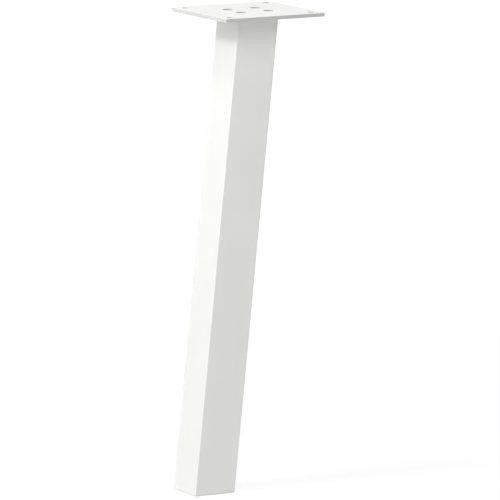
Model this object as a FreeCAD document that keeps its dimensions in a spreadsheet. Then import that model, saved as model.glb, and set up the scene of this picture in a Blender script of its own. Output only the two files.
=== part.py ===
import FreeCAD, Part

import math
import os

import Sketcher
from FreeCAD import Placement, Rotation, Vector

# Square steel table leg that leans outward under a flat screw plate.
# Z is up. The origin is the centre of the plate's top face, which meets the underside of a table.
# The leg leans towards -X on its way down to the floor. Lengths are in millimetres.

doc = FreeCAD.newDocument("table_leg")

# Driving sizes, one row each: name, value, meaning
SIZES = (
    ("leg_height", 430, "from the plate's top face down to the floor"),
    ("leg_slant", 6, "degrees that the leg leans from upright"),
    ("plate_side", 100, "mounting plate, square"),
    ("plate_thickness", 3.5, "mounting plate"),
    ("plate_corner_radius", 1, "mounting plate, seen from above"),
    ("plate_edge_radius", 0.4, "rounding of the plate's rims under the coating"),
    ("screw_hole", 6, "diameter of the four holes near the plate's corners"),
    ("screw_edge_distance", 9, "from the plate's edge to the centre of those holes"),
    ("centre_hole", 9.5, "diameter of the four holes over the tube"),
    ("centre_spacing_along", 27.5, "between the centre holes, the way the leg leans"),
    ("centre_spacing_across", 24.5, "between the centre holes, the other way"),
    ("tube_side", 40, "square tube, outside"),
    ("tube_wall", 1.5, "square tube"),
    ("tube_corner_radius", 0.8, "square tube, outside its corners, which look nearly sharp"),
    ("tube_inner_radius", 0.5, "square tube, inside its corners"),
    ("saw_allowance", 10, "tube length trimmed off past each level cut"),
    ("weld_leg", 3, "fillet weld, along the plate and down the tube"),
    ("weld_lip", 0.2, "thickness at which the weld fades out on the tube"),
    ("flange_thickness", 1.5, "end plug's flange, between the tube and the floor"),
    ("flange_inset", 0.1, "flange edge behind the tube's outer face"),
    ("flange_edge_radius", 0.2, "rounding of the flange's rim at the floor"),
    ("plug_corner_radius", 1, "end plug, its flange, skirt and ribs"),
    ("plug_depth", 20, "end plug's skirt, up into the tube"),
    ("plug_wall", 2, "end plug's skirt"),
    ("plug_clearance", 0.1, "between the plug's ribs and the tube's inner wall"),
    ("rib_height", 1, "grip ribs, out from the skirt"),
    ("rib_width", 1.2, "grip ribs, along the tube"),
    ("rib_pitch", 5, "from one grip rib to the next, and up to the first"),
)
RIB_COUNT = 3

sheet = doc.addObject("Spreadsheet::Sheet", "Sizes")
for row, (name, value, meaning) in enumerate(SIZES, start=1):
    sheet.set(f"A{row}", name)
    sheet.set(f"B{row}", str(value))
    sheet.set(f"C{row}", meaning)
    sheet.setAlias(f"B{row}", name)
doc.recompute()

# Sizes that several pieces share, worked out from the driving ones
SLANT = "Sizes.leg_slant"
CUT_WIDTH = f"Sizes.tube_side / cos({SLANT})"
TUBE_TOP = "-Sizes.plate_thickness"
TUBE_FOOT = "(Sizes.flange_thickness - Sizes.leg_height)"
INNER_SIDE = "(Sizes.tube_side - 2 * Sizes.tube_wall)"
RIB_SIDE = f"({INNER_SIDE} - 2 * Sizes.plug_clearance)"
SCREW_SPACING = "(Sizes.plate_side - 2 * Sizes.screw_edge_distance)"
SKIRT_SIDE = f"({RIB_SIDE} - 2 * Sizes.rib_height)"


def axis_x(height):
    """X of the tube's axis at a height: it starts at the plate's underside and leans towards -X."""
    return f"({height} - {TUBE_TOP}) * tan({SLANT})"


def new_body(label):
    body = doc.addObject("PartDesign::Body", label)
    body.Label = label
    return body


def level_sketch(body, name, height="0", shift="0"):
    """A sketch on a level plane at a height, moved along X."""
    sketch = body.newObject("Sketcher::SketchObject", name)
    ground = next(plane for plane in body.Origin.OriginFeatures if plane.Role == "XY_Plane")
    sketch.AttachmentSupport = [(ground, "")]
    sketch.MapMode = "FlatFace"
    sketch.setExpression(".AttachmentOffset.Base.x", shift)
    sketch.setExpression(".AttachmentOffset.Base.z", height)
    return sketch


def section_sketch(body, name, height):
    """A sketch square to the tube, centred where the tube's axis is at a height."""
    sketch = level_sketch(body, name, height, axis_x(height))
    sketch.AttachmentOffset = Placement(Vector(), Rotation(Vector(0, 1, 0), sheet.leg_slant))
    sketch.setExpression(".AttachmentOffset.Rotation.Angle", SLANT)
    return sketch


def constrain(sketch, *rule, size=None):
    """Add one constraint, bound to a size when there is one."""
    index = sketch.addConstraint(Sketcher.Constraint(*rule))
    if size:
        sketch.setExpression(f"Constraints[{index}]", size)


def rectangle(sketch, along, across, radius):
    """A rounded rectangle about the sketch's own centre."""
    half_x = sketch.evalExpression(along) / 2
    half_y = sketch.evalExpression(across) / 2
    bend = sketch.evalExpression(radius)
    first = sketch.GeometryCount
    quarter_turn = math.pi / 2
    for quarter, (sx, sy) in enumerate(((1, 1), (-1, 1), (-1, -1), (1, -1))):
        middle = Vector(sx * (half_x - bend), sy * (half_y - bend), 0)
        circle = Part.Circle(middle, Vector(0, 0, 1), bend)
        sketch.addGeometry(Part.ArcOfCircle(circle, quarter * quarter_turn, (quarter + 1) * quarter_turn))
    for quarter in range(4):
        after = (quarter + 1) % 4
        leave = sketch.getPoint(first + quarter, 2)
        arrive = sketch.getPoint(first + after, 1)
        side = sketch.addGeometry(Part.LineSegment(leave, arrive))
        constrain(sketch, "Tangent", first + quarter, 2, side, 1)
        constrain(sketch, "Tangent", side, 2, first + after, 1)
    top, left, bottom, right = (first + 4 + side for side in range(4))
    constrain(sketch, "Horizontal", top)
    constrain(sketch, "Vertical", left)
    constrain(sketch, "Horizontal", bottom)
    constrain(sketch, "Vertical", right)
    for quarter in range(1, 4):
        constrain(sketch, "Equal", first, first + quarter)
    constrain(sketch, "Symmetric", first, 3, first + 2, 3, -1, 1)
    constrain(sketch, "Radius", first, bend, size=radius)
    constrain(sketch, "Distance", left, 1, right, 2 * half_x, size=along)
    constrain(sketch, "Distance", top, 1, bottom, 2 * half_y, size=across)


def hole_square(sketch, along, across, diameter):
    """Four circles at the corners of a rectangle about the sketch's centre."""
    half_x = sketch.evalExpression(along) / 2
    half_y = sketch.evalExpression(across) / 2
    radius = sketch.evalExpression(diameter) / 2
    for sx in (-1, 1):
        for sy in (-1, 1):
            middle = Vector(sx * half_x, sy * half_y, 0)
            circle = sketch.addGeometry(Part.Circle(middle, Vector(0, 0, 1), radius))
            constrain(sketch, "Diameter", circle, 2 * radius, size=diameter)
            constrain(sketch, "DistanceX", -1, 1, circle, 3, sx * half_x, size=f"{sx} * {along} / 2")
            constrain(sketch, "DistanceY", -1, 1, circle, 3, sy * half_y, size=f"{sy} * {across} / 2")


def pad(body, name, sketch, length, other_way=None, downward=False):
    """Extrude a sketch one way, or a further length the other way too."""
    feature = body.newObject("PartDesign::Pad", name)
    feature.Profile = sketch
    feature.Reversed = downward
    feature.setExpression("Length", length)
    if other_way:
        feature.SideType = "Two sides"
        feature.setExpression("Length2", other_way)
    return feature


def round_edges(body, name, feature, rule, radius):
    """Fillet the edges of a feature that meet a rule."""
    doc.recompute()
    edges = [f"Edge{number}" for number, edge in enumerate(feature.Shape.Edges, start=1) if rule(edge)]
    fillet = body.newObject("PartDesign::Fillet", name)
    fillet.Base = (feature, edges)
    fillet.setExpression("Radius", radius)


def cut_through(body, name, sketch, side="One side", upward=False):
    """Cut a sketch through everything on one side of it, or on both, and check that it cut."""
    doc.recompute()
    before = body.Shape.Volume
    feature = body.newObject("PartDesign::Pocket", name)
    feature.Profile = sketch
    feature.SideType = side
    feature.Type = "ThroughAll"
    if side == "Two sides":
        feature.Type2 = "ThroughAll"
    feature.Reversed = upward
    doc.recompute()
    if not body.Shape.Volume < before:
        raise RuntimeError(f"{body.Label}: {name} cut nothing")
    return feature


# Mounting plate: flat steel with four screw holes near its corners and four over the tube
plate = new_body("mounting_plate")
plate_outline = level_sketch(plate, "plate_outline")
rectangle(plate_outline, "Sizes.plate_side", "Sizes.plate_side", "Sizes.plate_corner_radius")
plate_blank = pad(plate, "plate_blank", plate_outline, "Sizes.plate_thickness", downward=True)
round_edges(
    plate,
    "plate_rims",
    plate_blank,
    lambda edge: edge.BoundBox.ZLength < sheet.plate_thickness / 2,
    "Sizes.plate_edge_radius",
)
screw_holes = level_sketch(plate, "screw_hole_circles")
hole_square(screw_holes, SCREW_SPACING, SCREW_SPACING, "Sizes.screw_hole")
cut_through(plate, "screw_holes", screw_holes)
centre_holes = level_sketch(plate, "centre_hole_circles")
hole_square(centre_holes, "Sizes.centre_spacing_along", "Sizes.centre_spacing_across", "Sizes.centre_hole")
cut_through(plate, "centre_holes", centre_holes)

# Leg tube: square hollow section, leaning, with both ends sawn level
tube = new_body("leg_tube")
tube_section = section_sketch(tube, "tube_section", TUBE_TOP)
rectangle(tube_section, "Sizes.tube_side", "Sizes.tube_side", "Sizes.tube_corner_radius")
rectangle(tube_section, INNER_SIDE, INNER_SIDE, "Sizes.tube_inner_radius")
drawn_length = f"({TUBE_TOP} - {TUBE_FOOT}) / cos({SLANT}) + Sizes.saw_allowance"
pad(tube, "drawn_tube", tube_section, drawn_length, other_way="Sizes.saw_allowance", downward=True)
top_saw = level_sketch(tube, "top_saw", TUBE_TOP)
rectangle(top_saw, "2 * Sizes.tube_side", "2 * Sizes.tube_side", "Sizes.tube_corner_radius")
cut_through(tube, "top_cut", top_saw, upward=True)
foot_saw = level_sketch(tube, "foot_saw", TUBE_FOOT, axis_x(TUBE_FOOT))
rectangle(foot_saw, "2 * Sizes.tube_side", "2 * Sizes.tube_side", "Sizes.tube_corner_radius")
cut_through(tube, "foot_cut", foot_saw)

# Weld bead: one fillet weld all round the tube, against the plate's underside
weld = new_body("weld_bead")
WELD_END = f"({TUBE_TOP} - Sizes.weld_leg)"
weld_on_plate = level_sketch(weld, "weld_on_plate", TUBE_TOP)
rectangle(
    weld_on_plate,
    f"{CUT_WIDTH} + 2 * Sizes.weld_leg",
    "Sizes.tube_side + 2 * Sizes.weld_leg",
    "Sizes.tube_corner_radius + Sizes.weld_leg",
)
weld_on_tube = level_sketch(weld, "weld_on_tube", WELD_END, axis_x(WELD_END))
rectangle(
    weld_on_tube,
    f"{CUT_WIDTH} + 2 * Sizes.weld_lip",
    "Sizes.tube_side + 2 * Sizes.weld_lip",
    "Sizes.tube_corner_radius + Sizes.weld_lip",
)
weld_blank = weld.newObject("PartDesign::AdditiveLoft", "weld_blank")
weld_blank.Profile = weld_on_plate
weld_blank.Sections = [weld_on_tube]
weld_blank.Ruled = True
weld_section = section_sketch(weld, "tube_in_weld", TUBE_TOP)
rectangle(weld_section, "Sizes.tube_side", "Sizes.tube_side", "Sizes.tube_corner_radius")
cut_through(weld, "tube_room", weld_section, side="Two sides")

# End plug: moulded plastic, pushed into the tube's foot, with a thin flange that meets the floor
plug = new_body("end_plug")
skirt_outline = section_sketch(plug, "skirt_outline", TUBE_FOOT)
rectangle(skirt_outline, SKIRT_SIDE, SKIRT_SIDE, "Sizes.plug_corner_radius")
pad(plug, "skirt", skirt_outline, "Sizes.plug_depth", other_way="Sizes.saw_allowance")
rib_outline = section_sketch(plug, "rib_outline", f"({TUBE_FOOT} + Sizes.rib_pitch)")
rectangle(rib_outline, RIB_SIDE, RIB_SIDE, "Sizes.plug_corner_radius")
first_rib = pad(plug, "first_rib", rib_outline, "Sizes.rib_width")
ribs = plug.newObject("PartDesign::LinearPattern", "ribs")
ribs.Originals = [first_rib]
ribs.Direction = (rib_outline, ["N_Axis"])
ribs.Mode = "Spacing"
ribs.setExpression("Offset", "Sizes.rib_pitch")
ribs.Occurrences = RIB_COUNT
plug.Tip = ribs
skirt_room = section_sketch(plug, "skirt_room", TUBE_FOOT)
SKIRT_INSIDE = f"({SKIRT_SIDE} - 2 * Sizes.plug_wall)"
rectangle(skirt_room, SKIRT_INSIDE, SKIRT_INSIDE, "Sizes.plug_corner_radius")
cut_through(plug, "hollow", skirt_room, side="Two sides")
skirt_end = level_sketch(plug, "skirt_end", TUBE_FOOT, axis_x(TUBE_FOOT))
rectangle(skirt_end, "2 * Sizes.tube_side", "2 * Sizes.tube_side", "Sizes.plug_corner_radius")
cut_through(plug, "skirt_cut", skirt_end)
flange_outline = level_sketch(plug, "flange_outline", TUBE_FOOT, axis_x(TUBE_FOOT))
rectangle(
    flange_outline,
    f"{CUT_WIDTH} - 2 * Sizes.flange_inset",
    "Sizes.tube_side - 2 * Sizes.flange_inset",
    "Sizes.plug_corner_radius",
)
flange = pad(plug, "flange", flange_outline, "Sizes.flange_thickness", downward=True)
round_edges(
    plug,
    "flange_rim",
    flange,
    lambda edge: edge.BoundBox.ZMax < sheet.flange_thickness / 2 - sheet.leg_height,
    "Sizes.flange_edge_radius",
)

doc.recompute()
for item in doc.Objects:
    if "Invalid" in item.State or "Error" in item.State:
        raise RuntimeError(f"{item.Name} did not build: {item.State}")
pieces = (plate, tube, weld, plug)
for piece in pieces:
    if piece.Shape.isNull() or not piece.Shape.isValid():
        raise RuntimeError(f"{piece.Label} has no valid shape")

os.makedirs("parts", exist_ok=True)
for piece in pieces:
    piece.Shape.exportStep(f"parts/{piece.Label}.step")
    box = piece.Shape.BoundBox
    corners = [round(value, 2) for value in (box.XMin, box.XMax, box.YMin, box.YMax, box.ZMin, box.ZMax)]
    print(piece.Label, len(piece.Shape.Solids), "solid", round(piece.Shape.Volume, 1), "mm3", corners)
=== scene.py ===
import math

import bmesh
import bpy
from mathutils import Matrix, Vector


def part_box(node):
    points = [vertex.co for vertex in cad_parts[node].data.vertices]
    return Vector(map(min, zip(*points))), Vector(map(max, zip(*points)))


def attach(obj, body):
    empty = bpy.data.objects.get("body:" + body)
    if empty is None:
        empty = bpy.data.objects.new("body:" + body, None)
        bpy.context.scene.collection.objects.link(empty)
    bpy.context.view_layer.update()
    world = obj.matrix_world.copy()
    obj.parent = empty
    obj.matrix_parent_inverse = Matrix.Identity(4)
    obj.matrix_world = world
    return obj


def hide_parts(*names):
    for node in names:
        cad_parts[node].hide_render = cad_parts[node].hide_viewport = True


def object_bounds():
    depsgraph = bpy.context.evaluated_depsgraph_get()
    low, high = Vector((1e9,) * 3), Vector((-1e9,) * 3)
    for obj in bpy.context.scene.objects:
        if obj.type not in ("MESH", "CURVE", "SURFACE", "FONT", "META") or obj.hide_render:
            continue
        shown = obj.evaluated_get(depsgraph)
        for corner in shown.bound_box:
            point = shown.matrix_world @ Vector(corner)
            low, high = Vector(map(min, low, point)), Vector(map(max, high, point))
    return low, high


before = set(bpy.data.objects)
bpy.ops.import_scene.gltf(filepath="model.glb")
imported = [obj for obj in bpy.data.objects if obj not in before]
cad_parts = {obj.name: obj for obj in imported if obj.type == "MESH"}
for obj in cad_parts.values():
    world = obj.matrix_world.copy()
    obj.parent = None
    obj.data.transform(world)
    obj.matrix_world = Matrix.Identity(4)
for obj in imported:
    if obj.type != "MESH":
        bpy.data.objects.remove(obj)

cad_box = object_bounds()
mm = 0.001


# Mounting plate
# A square of 3.5 mm steel plate, sheared to size and drilled, then coated with the rest of the leg in
# polyester powder, which is sprayed on charged and baked. The rim is drawn greyer, where the powder
# draws back from the sheared edge, and less grey on the side that faces the lamps, which is painted
# light and shade. The bores are drawn grey inside, darker with depth, which is thin powder and painted
# shade in the hollow.
COAT_WHITE = "#F1F2EE"
THIN_COAT_AND_SHADE_GREY = "#C8C9C6"
LAMP_SIDE_GREY_SHARE = 0.63
RIM_BAND = 1 * mm
SHEAR_MARKS = 0.8 * mm
SHEAR_MARK_STRETCH = 10
SHEAR_MARK_DEPTH = 0.05 * mm
BORE_GREY_AND_SHADE = "#A3A4A1"
BORE_REACH = 1.2 * mm

# The baked powder is a warm white satin skin that clouds very slightly. Its faint orange peel is drawn
# deeper than real, so that it shows.
COAT_ROUGHNESS = 0.38
COAT_IOR = 1.5
ORANGE_PEEL = 2.4 * mm
ORANGE_PEEL_DEPTH = 0.06 * mm
POWDER_GRAIN = 0.5 * mm
POWDER_GRAIN_DEPTH = 0.005 * mm
CLOUDING = 60 * mm
CLOUD_DARKEST = 0.985
NOISE_LOW = 0.3
NOISE_HIGH = 0.7

plate_low, plate_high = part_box("mounting_plate")


def linear(hex_color):
    """An sRGB hex colour as the linear colour that a shader takes."""
    parts = [int(hex_color[i:i + 2], 16) / 255 for i in (1, 3, 5)]
    return [c / 12.92 if c <= 0.04045 else ((c + 0.055) / 1.055) ** 2.4 for c in parts] + [1.0]


def add_node(tree, kind, inputs=None, **settings):
    """Add a node, set its properties, and fill or link its sockets."""
    node = tree.nodes.new(kind)
    for name, value in settings.items():
        setattr(node, name, value)
    for name, value in (inputs or {}).items():
        socket = node.inputs[name]
        if isinstance(value, bpy.types.NodeSocket):
            tree.links.new(value, socket)
        else:
            socket.default_value = value
    return node


def calculate(tree, operation, *values):
    """One Math node's result."""
    inputs = dict(enumerate(values))
    return add_node(tree, "ShaderNodeMath", inputs, operation=operation).outputs[0]


def remap(tree, value, low, high, to_low=0.0, to_high=1.0):
    """The value's place between low and high, as a number between two others."""
    inputs = {"Value": value, "From Min": low, "From Max": high, "To Min": to_low, "To Max": to_high}
    return add_node(tree, "ShaderNodeMapRange", inputs).outputs["Result"]


def noise(tree, place, size):
    """Noise whose blotches are about one size across, in metres."""
    return add_node(tree, "ShaderNodeTexNoise", {"Vector": place, "Scale": 1 / size}).outputs["Fac"]


def mix_color(tree, share, first, second, blend="MIX"):
    """The first colour with a share of the second mixed in, or multiplied in."""
    inputs = {"Factor": share, "A": first, "B": second}
    return add_node(tree, "ShaderNodeMix", inputs, data_type="RGBA", blend_type=blend).outputs["Result"]


def bump(tree, height, depth, strength=1.0, **under):
    """A bumped normal, laid over another one where Normal is given."""
    inputs = {"Height": height, "Distance": depth, "Strength": strength, **under}
    return add_node(tree, "ShaderNodeBump", inputs).outputs["Normal"]


def new_material(name):
    """An empty node material, its tree, and the piece's own coordinates."""
    material = bpy.data.materials.new(name)
    material.use_nodes = True
    material.node_tree.nodes.clear()
    return material, material.node_tree, add_node(material.node_tree, "ShaderNodeTexCoord").outputs["Object"]


def finish(tree, shader):
    add_node(tree, "ShaderNodeOutputMaterial", {"Surface": shader})


def give_material(node, material):
    """Put a material on a CAD node in place of its plain one."""
    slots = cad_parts[node].data.materials
    slots.clear()
    slots.append(material)


def powder_coat(tree, place, color, **under):
    """The shader of the coat: a faintly clouded colour, orange peel, and the grain of the powder."""
    clouds = remap(tree, noise(tree, place, CLOUDING), NOISE_LOW, NOISE_HIGH, CLOUD_DARKEST, 1.0)
    peel = bump(tree, noise(tree, place, ORANGE_PEEL), ORANGE_PEEL_DEPTH, **under)
    return add_node(tree, "ShaderNodeBsdfPrincipled", {
        "Base Color": mix_color(tree, 1.0, color, clouds, "MULTIPLY"),
        "Roughness": COAT_ROUGHNESS,
        "IOR": COAT_IOR,
        "Normal": bump(tree, noise(tree, place, POWDER_GRAIN), POWDER_GRAIN_DEPTH, Normal=peel),
    }).outputs["BSDF"]


# Walls that stand upright are the rim, where they are within a band at the plate's outline, or bores
plate_coat, tree, place = new_material("powder_coat_plate")
facing = add_node(tree, "ShaderNodeSeparateXYZ", {
    "Vector": add_node(tree, "ShaderNodeNewGeometry").outputs["Normal"],
}).outputs
upright = calculate(tree, "SUBTRACT", 1.0, calculate(tree, "ABSOLUTE", facing["Z"]))
part = add_node(tree, "ShaderNodeSeparateXYZ", {"Vector": place}).outputs
out_x = calculate(tree, "ABSOLUTE", part["X"])
out_y = calculate(tree, "ABSOLUTE", part["Y"])
in_rim = calculate(tree, "GREATER_THAN", calculate(tree, "MAXIMUM", out_x, out_y), plate_high.x - RIM_BAND)
rim_share = calculate(tree, "MULTIPLY", upright, in_rim)
bore_share = calculate(tree, "SUBTRACT", upright, rim_share)
plate_middle = (plate_low.z + plate_high.z) / 2
from_middle = calculate(tree, "ABSOLUTE", calculate(tree, "SUBTRACT", part["Z"], plate_middle))
half_plate = (plate_high.z - plate_low.z) / 2
# Painted shade in the bores, together with their thin powder: grey that deepens with depth below each face
bore_depth_shade = remap(tree, from_middle, half_plate, half_plate - BORE_REACH)
# Painted light and shade: the rim's grey is lessened where it faces the lamps, towards -X, and full on its
# other sides
painted_side_shade = remap(tree, facing["X"], -1.0, 0.0, LAMP_SIDE_GREY_SHARE, 1.0)
rim_grey_and_shade = calculate(tree, "MULTIPLY", upright, painted_side_shade)
color = mix_color(tree, rim_grey_and_shade, linear(COAT_WHITE), linear(THIN_COAT_AND_SHADE_GREY))
color = mix_color(tree, calculate(tree, "MULTIPLY", bore_share, bore_depth_shade), color, linear(BORE_GREY_AND_SHADE))
across_rim = add_node(tree, "ShaderNodeMapping", {
    "Vector": place, "Scale": (1, 1, 1 / SHEAR_MARK_STRETCH),
}).outputs[0]
sheared = bump(tree, noise(tree, across_rim, SHEAR_MARKS), SHEAR_MARK_DEPTH, rim_share)
finish(tree, powder_coat(tree, place, color, Normal=sheared))
give_material("mounting_plate", plate_coat)


# Leg tube
# Welded square steel tube, 40 mm outside with a 1.5 mm wall, leaning 6 degrees and sawn level.
# The same coat covers the outside. Inside, past the reach of the powder, the steel is bare.
LEAN = math.radians(6)
TUBE_SIDE = 40 * mm
TUBE_WALL = 1.5 * mm
BARE_STEEL = "#8D8C88"
BARE_ROUGHNESS = 0.42
MILL_MARKS = 1 * mm
MILL_MARK_STRETCH = 20
MILL_MARK_DEPTH = 0.02 * mm

tube_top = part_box("leg_tube")[1].z


# The inner faces are told from the outer ones by their distance from the leaning axis
tube_coat, tree, place = new_material("powder_coat_tube")
part = add_node(tree, "ShaderNodeSeparateXYZ", {"Vector": place}).outputs
depth = calculate(tree, "SUBTRACT", part["Z"], tube_top)
axis_x = calculate(tree, "MULTIPLY", depth, math.tan(LEAN))
out_x = calculate(tree, "ABSOLUTE", calculate(tree, "SUBTRACT", part["X"], axis_x))
out_y = calculate(tree, "ABSOLUTE", part["Y"])
out = calculate(tree, "MAXIMUM", calculate(tree, "MULTIPLY", out_x, math.cos(LEAN)), out_y)
inside = calculate(tree, "LESS_THAN", out, TUBE_SIDE / 2 - TUBE_WALL / 2)
mill_marks = add_node(tree, "ShaderNodeMapping", {
    "Vector": place, "Scale": (1, 1, 1 / MILL_MARK_STRETCH),
}).outputs[0]
steel = add_node(tree, "ShaderNodeBsdfPrincipled", {
    "Base Color": linear(BARE_STEEL),
    "Metallic": 1.0,
    "Roughness": BARE_ROUGHNESS,
    "Normal": bump(tree, noise(tree, mill_marks, MILL_MARKS), MILL_MARK_DEPTH),
}).outputs["BSDF"]
coat = powder_coat(tree, place, linear(COAT_WHITE))
finish(tree, add_node(tree, "ShaderNodeMixShader", {0: inside, 1: coat, 2: steel}).outputs[0])
give_material("leg_tube", tube_coat)


# Weld bead
# One fillet weld of mild steel wire, run by hand all round the tube under the plate. The moving arc
# leaves ripples like a row of laid-over coins, and a lump where the run starts and ends. It is under
# the same powder coat, which softens the ripples.
TUBE_CORNER = 0.8 * mm
WELD_LEG = 3 * mm
WELD_CROWN = 0.3 * mm
WELD_SINK = 0.05 * mm
WELD_WAVER = 0.1
WAVER_LENGTH = 7 * mm
RIPPLE_PITCH = 1.7 * mm
RIPPLE_HEIGHT = 0.22 * mm
RIPPLE_LAG = 0.7
RIPPLE_SWAY = 0.25
RIPPLE_FULLNESS = 0.9
RIPPLE_UNEVENNESS = 0.25
WELD_STEP = 0.2 * mm
CORNER_POINTS = 8
SECTION_CUTS = 5
WELD_SEED = 4.0
LUMP_HEIGHT = 0.35 * mm
LUMP_LENGTH = 3 * mm
LUMP_PLACE = (14 * mm, TUBE_SIDE / 2, tube_top)

weld_coat, tree, place = new_material("powder_coat_weld")
finish(tree, powder_coat(tree, place, linear(COAT_WHITE)))

weld_sizes = {
    "Along": TUBE_SIDE / math.cos(LEAN),
    "Across": TUBE_SIDE,
    "Corner": TUBE_CORNER,
    "Top": tube_top,
    "Lean": math.tan(LEAN),
    "Leg": WELD_LEG,
    "Crown": WELD_CROWN,
    "Sink": WELD_SINK,
    "Waver": WELD_WAVER,
    "Waver Length": WAVER_LENGTH,
    "Ripple Pitch": RIPPLE_PITCH,
    "Ripple Height": RIPPLE_HEIGHT,
    "Ripple Lag": RIPPLE_LAG,
    "Step": WELD_STEP,
    "Seed": WELD_SEED,
    "Lump Height": LUMP_HEIGHT,
    "Lump Length": LUMP_LENGTH,
}
weld_tree = bpy.data.node_groups.new("weld_run", "GeometryNodeTree")
for name in weld_sizes:
    weld_tree.interface.new_socket(name, in_out="INPUT", socket_type="NodeSocketFloat")
weld_tree.interface.new_socket("Lump Place", in_out="INPUT", socket_type="NodeSocketVector")
weld_tree.interface.new_socket("Coat", in_out="INPUT", socket_type="NodeSocketMaterial")
weld_tree.interface.new_socket("Weld", in_out="OUTPUT", socket_type="NodeSocketGeometry")
given = add_node(weld_tree, "NodeGroupInput").outputs


def weld_math(operation, *values):
    return calculate(weld_tree, operation, *values)


def weld_vector(operation, *values):
    """One Vector Math node's result: a number for a dot product or a distance, or else a vector."""
    node = add_node(weld_tree, "ShaderNodeVectorMath", dict(enumerate(values)), operation=operation)
    return node.outputs["Value" if operation in ("DOT_PRODUCT", "DISTANCE") else "Vector"]


def capture(geometry, **fields):
    """Store fields on a geometry's points. Gives the geometry, then the stored fields by name."""
    node = weld_tree.nodes.new("GeometryNodeCaptureAttribute")
    weld_tree.links.new(geometry, node.inputs["Geometry"])
    for name, field in fields.items():
        node.capture_items.new("VECTOR" if field.type == "VECTOR" else "FLOAT", name)
        weld_tree.links.new(field, node.inputs[name])
    return node.outputs["Geometry"], {name: node.outputs[name] for name in fields}


def waver(place, seed_step):
    """A smooth random share from -1 to 1 that changes along the run, its own for each seed step."""
    value = add_node(weld_tree, "ShaderNodeTexNoise", {
        "Vector": place,
        "W": weld_math("ADD", given["Seed"], seed_step),
        "Scale": weld_math("DIVIDE", 1.0, given["Waver Length"]),
        "Detail": 1.0,
    }, noise_dimensions="4D").outputs["Fac"]
    return weld_math("MULTIPLY_ADD", value, 4.0, -2.0)


# The run follows the tube's outline where it meets the plate
outline = add_node(weld_tree, "GeometryNodeCurvePrimitiveQuadrilateral", {
    "Width": given["Along"], "Height": given["Across"],
}, mode="RECTANGLE").outputs["Curve"]
outline = add_node(weld_tree, "GeometryNodeFilletCurve", {
    "Curve": outline, "Radius": given["Corner"], "Count": CORNER_POINTS,
}, mode="POLY").outputs["Curve"]
outline = add_node(weld_tree, "GeometryNodeResampleCurve", {
    "Curve": outline, "Length": given["Step"],
}, mode="LENGTH").outputs["Curve"]
run_length = add_node(weld_tree, "GeometryNodeCurveLength", {"Curve": outline}).outputs["Length"]
outline, on_run = capture(
    outline,
    place=add_node(weld_tree, "GeometryNodeInputPosition").outputs["Position"],
    heading=add_node(weld_tree, "GeometryNodeInputTangent").outputs["Tangent"],
    share=add_node(weld_tree, "GeometryNodeSplineParameter").outputs["Factor"],
)

# Its section is a triangle: x is out along the plate, y is down the tube, both from their corner
sunk = weld_math("MULTIPLY", given["Sink"], -1.0)
half_leg = weld_math("DIVIDE", given["Leg"], 2.0)


def section_point(out, down):
    return add_node(weld_tree, "ShaderNodeCombineXYZ", {"X": out, "Y": down}).outputs["Vector"]


section = add_node(weld_tree, "GeometryNodeCurvePrimitiveQuadrilateral", {
    "Point 1": section_point(sunk, sunk),
    "Point 2": section_point(given["Leg"], sunk),
    "Point 3": section_point(half_leg, half_leg),
    "Point 4": section_point(sunk, given["Leg"]),
}, mode="POINTS").outputs["Curve"]
section = add_node(weld_tree, "GeometryNodeSubdivideCurve", {
    "Curve": section, "Cuts": SECTION_CUTS,
}).outputs["Curve"]
section, in_section = capture(
    section, spot=add_node(weld_tree, "GeometryNodeInputPosition").outputs["Position"],
)
weld_mesh = add_node(weld_tree, "GeometryNodeCurveToMesh", {
    "Curve": outline, "Profile Curve": section,
}).outputs["Mesh"]

# How far each point stands out of the triangle's face, which is 1 in its middle and 0 at its toes
spot = add_node(weld_tree, "ShaderNodeSeparateXYZ", {"Vector": in_section["spot"]}).outputs
across_face = weld_math("DIVIDE", weld_math("SUBTRACT", spot["X"], spot["Y"]), given["Leg"])
height_share = weld_math("DIVIDE", weld_math("ADD", spot["X"], spot["Y"]), given["Leg"])
bulge = weld_math("MULTIPLY", across_face, across_face)
bulge = weld_math("MAXIMUM", weld_math("SUBTRACT", 1.0, bulge), 0.0)
bulge = weld_math("MULTIPLY", bulge, weld_math("MAXIMUM", height_share, 0.0))

# Ripples: a whole number of humps round the run, with sharp valleys, whose ends lag behind the middle
ripples = weld_math("ROUND", weld_math("DIVIDE", run_length, given["Ripple Pitch"]))
phase = weld_math("MULTIPLY", on_run["share"], ripples)
lag = weld_math("MULTIPLY", weld_math("MULTIPLY", across_face, across_face), given["Ripple Lag"])
sway = weld_math("MULTIPLY_ADD", waver(on_run["place"], 10.0), RIPPLE_SWAY, lag)
phase = weld_math("ADD", phase, sway)
hump = weld_math("ABSOLUTE", weld_math("SINE", weld_math("MULTIPLY", phase, math.pi)))
fullness = weld_math("MULTIPLY_ADD", waver(on_run["place"], 20.0), RIPPLE_UNEVENNESS, RIPPLE_FULLNESS)
hump = weld_math("MULTIPLY", hump, fullness)
from_lump = weld_vector("DISTANCE", on_run["place"], given["Lump Place"])
from_lump = weld_math("DIVIDE", from_lump, given["Lump Length"])
lump = weld_math("EXPONENT", weld_math("MULTIPLY", weld_math("MULTIPLY", from_lump, from_lump), -1.0))
rise = weld_math("MULTIPLY_ADD", hump, given["Ripple Height"], given["Crown"])
rise = weld_math("MULTIPLY_ADD", lump, given["Lump Height"], rise)

# The face slopes at 45 degrees, so the rise is shared between the way out and the way down
rise = weld_math("MULTIPLY", weld_math("MULTIPLY", rise, bulge), math.sqrt(0.5))


def swelled(reach, seed_step):
    """A reach along the plate or the tube, with the hand's unevenness and the bead's own rise."""
    uneven = weld_math("MULTIPLY_ADD", waver(on_run["place"], seed_step), given["Waver"], 1.0)
    return weld_math("MULTIPLY_ADD", reach, uneven, rise)


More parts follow.
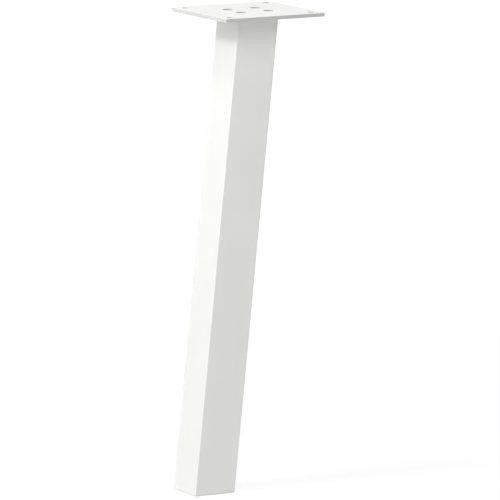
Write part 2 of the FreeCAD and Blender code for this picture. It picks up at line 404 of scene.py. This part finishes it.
# Out from the tube, and down, with the lean of the tube's wall
upward = add_node(weld_tree, "ShaderNodeCombineXYZ", {"Z": 1.0}).outputs["Vector"]
outward = weld_vector("CROSS_PRODUCT", on_run["heading"], upward)
facing = weld_math("SIGN", weld_vector("DOT_PRODUCT", outward, on_run["place"]))
out = add_node(weld_tree, "ShaderNodeSeparateXYZ", {"Vector": outward}).outputs
start = add_node(weld_tree, "ShaderNodeSeparateXYZ", {"Vector": on_run["place"]}).outputs
reach_out = weld_math("MULTIPLY", swelled(spot["X"], 30.0), facing)
reach_down = swelled(spot["Y"], 40.0)
x_out = weld_math("MULTIPLY_ADD", out["X"], reach_out, start["X"])
place_in_weld = add_node(weld_tree, "ShaderNodeCombineXYZ", {
    "X": weld_math("SUBTRACT", x_out, weld_math("MULTIPLY", reach_down, given["Lean"])),
    "Y": weld_math("MULTIPLY_ADD", out["Y"], reach_out, start["Y"]),
    "Z": weld_math("SUBTRACT", given["Top"], reach_down),
}).outputs["Vector"]
weld_mesh = add_node(weld_tree, "GeometryNodeSetPosition", {
    "Geometry": weld_mesh, "Position": place_in_weld,
}).outputs["Geometry"]
weld_mesh = add_node(weld_tree, "GeometryNodeSetShadeSmooth", {"Geometry": weld_mesh}).outputs["Geometry"]
weld_mesh = add_node(weld_tree, "GeometryNodeRealizeInstances", {"Geometry": weld_mesh}).outputs["Geometry"]
weld_mesh = add_node(weld_tree, "GeometryNodeSetMaterial", {
    "Geometry": weld_mesh, "Material": given["Coat"],
}).outputs["Geometry"]
add_node(weld_tree, "NodeGroupOutput", {"Weld": weld_mesh})

weld_maker = bpy.data.objects.new("weld_maker", bpy.data.meshes.new("weld_maker"))
bpy.context.scene.collection.objects.link(weld_maker)
modifier = weld_maker.modifiers.new("weld_run", "NODES")
modifier.node_group = weld_tree
weld_inputs = {**weld_sizes, "Lump Place": LUMP_PLACE, "Coat": weld_coat}
for socket in weld_tree.interface.items_tree:
    if socket.in_out == "INPUT":
        modifier[socket.identifier] = weld_inputs[socket.name]
weld_made = weld_maker.evaluated_get(bpy.context.evaluated_depsgraph_get())
weld_run = bpy.data.objects.new("weld_run", bpy.data.meshes.new_from_object(weld_made))
bpy.data.objects.remove(weld_maker)
bpy.context.scene.collection.objects.link(weld_run)
faces = bmesh.new()
faces.from_mesh(weld_run.data)
bmesh.ops.recalc_face_normals(faces, faces=faces.faces)
faces.to_mesh(weld_run.data)
faces.free()
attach(weld_run, "root")
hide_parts("weld_bead")


# End plug
# Push-in plug moulded in white polyethylene, a little greyer than the coat. Its flange shows as a thin
# line under the tube's foot.
PLUG_WHITE = "#E8E8E5"
PLUG_ROUGHNESS = 0.6
PLUG_IOR = 1.51
MOULD_GRAIN = 0.8 * mm
MOULD_GRAIN_DEPTH = 0.01 * mm

plug_plastic, tree, place = new_material("polyethylene_moulded")
finish(tree, add_node(tree, "ShaderNodeBsdfPrincipled", {
    "Base Color": linear(PLUG_WHITE),
    "Roughness": PLUG_ROUGHNESS,
    "IOR": PLUG_IOR,
    "Normal": bump(tree, noise(tree, place, MOULD_GRAIN), MOULD_GRAIN_DEPTH),
}).outputs["BSDF"])
give_material("end_plug", plug_plastic)


# Floor
# A pale matt floor at the foot of the leg. The camera sees it white, with a share of its plain
# diffuse left in near the leg, which keeps the leg's shadow, and none far off.
FLOOR_PALE = "#DEDEDC"
FLOOR_SIZE = 30.0
SEEN_GLOW = 1.08
SEEN_SHARE = 0.84
SHADOW_NEAR = 0.5
SHADOW_FAR = 1.6
WHITE_LIGHT = (1, 1, 1, 1)

floor_z = cad_box[0][2]
bpy.ops.mesh.primitive_plane_add(size=FLOOR_SIZE, location=(0, 0, floor_z))
floor = bpy.context.object
floor.name = "floor"


def seen_rays(tree):
    """1 for rays from the camera and for the reflections and refractions that it sees."""
    path = add_node(tree, "ShaderNodeLightPath").outputs
    seen = calculate(tree, "MAXIMUM", path["Is Camera Ray"], path["Is Glossy Ray"])
    return calculate(tree, "MAXIMUM", seen, path["Is Transmission Ray"])


floor_paint, tree, place = new_material("floor_paint")
away = add_node(tree, "ShaderNodeVectorMath", {0: place}, operation="LENGTH").outputs["Value"]
white_share = remap(tree, away, SHADOW_NEAR, SHADOW_FAR, SEEN_SHARE, 1.0)
matt = add_node(tree, "ShaderNodeBsdfDiffuse", {"Color": linear(FLOOR_PALE)}).outputs[0]
glow = add_node(tree, "ShaderNodeEmission", {"Color": WHITE_LIGHT, "Strength": SEEN_GLOW}).outputs[0]
finish(tree, add_node(tree, "ShaderNodeMixShader", {
    0: calculate(tree, "MULTIPLY", seen_rays(tree), white_share), 1: matt, 2: glow,
}).outputs[0])
floor.data.materials.append(floor_paint)


# Light
# A plain white room and soft square lamps, all at one distance from the leg's middle. The side and low
# ones are small, and throw the plate's shadow on the tube in two steps. The two large ones give no
# glare, which would turn the plate's top pure white in views from behind.
ROOM_LIGHT = 0.21
LAMP_DISTANCE = 3.0
LIGHT_AIM = Vector((0, 0, -0.12))

# Each lamp's name, degrees round from -X towards -Y, degrees up, watts, side in metres, and whether
# it shows in reflections
LAMPS = (
    ("side_light", 0, 41, 31.5, 0.5, True),
    ("high_light", 0, 69, 18.0, 0.8, True),
    ("low_light", 0, 20, 8.4, 0.4, True),
    ("front_light", 60, 34, 45.5, 1.9, False),
    ("back_light", 240, 5, 34.0, 1.9, False),
)

world = bpy.data.worlds.new("room")
bpy.context.scene.world = world
world.use_nodes = True
tree = world.node_tree
tree.nodes.clear()
strength = remap(tree, seen_rays(tree), 0.0, 1.0, ROOM_LIGHT, 1.0)
sky = add_node(tree, "ShaderNodeBackground", {"Color": WHITE_LIGHT, "Strength": strength}).outputs[0]
add_node(tree, "ShaderNodeOutputWorld", {"Surface": sky})

for name, turn, up, power, size, glare in LAMPS:
    turn, up = math.radians(turn), math.radians(up)
    toward = Vector((-math.cos(turn) * math.cos(up), -math.sin(turn) * math.cos(up), math.sin(up)))
    lamp_data = bpy.data.lights.new(name, "AREA")
    lamp_data.shape = "SQUARE"
    lamp_data.size = size
    lamp_data.energy = power
    lamp = bpy.data.objects.new(name, lamp_data)
    lamp.location = LIGHT_AIM + toward * LAMP_DISTANCE
    lamp.rotation_euler = toward.to_track_quat("Z", "Y").to_euler()
    lamp.visible_camera = False
    lamp.visible_glossy = glare
    bpy.context.scene.collection.objects.link(lamp)


# Camera
# A long lens, a little above the plate, seeing two faces of the tube. Its aim is given from the
# plate's centre, along the picture's own right and up.
CAMERA_TURN = math.radians(28.95)
CAMERA_DOWN = math.radians(9.10)
CAMERA_DISTANCE = 5.234
CAMERA_LENS = 425.2
CAMERA_SENSOR = 36
CAMERA_REACH = 100
AIM_RIGHT = 1.7 * mm
AIM_UP = -212.7 * mm

level_ahead = Vector((math.sin(CAMERA_TURN), math.cos(CAMERA_TURN), 0))
picture_right = Vector((math.cos(CAMERA_TURN), -math.sin(CAMERA_TURN), 0))
ahead = level_ahead * math.cos(CAMERA_DOWN) - Vector((0, 0, math.sin(CAMERA_DOWN)))
picture_up = picture_right.cross(ahead)
camera_data = bpy.data.cameras.new("camera")
camera_data.sensor_width = CAMERA_SENSOR
camera_data.lens = CAMERA_LENS
camera_data.clip_end = CAMERA_REACH
camera = bpy.data.objects.new("camera", camera_data)
camera.location = picture_right * AIM_RIGHT + picture_up * AIM_UP - ahead * CAMERA_DISTANCE
camera.rotation_euler = Matrix((picture_right, picture_up, -ahead)).transposed().to_euler()
bpy.context.scene.collection.objects.link(camera)
bpy.context.scene.camera = camera
bpy.context.scene.view_settings.view_transform = "Standard"
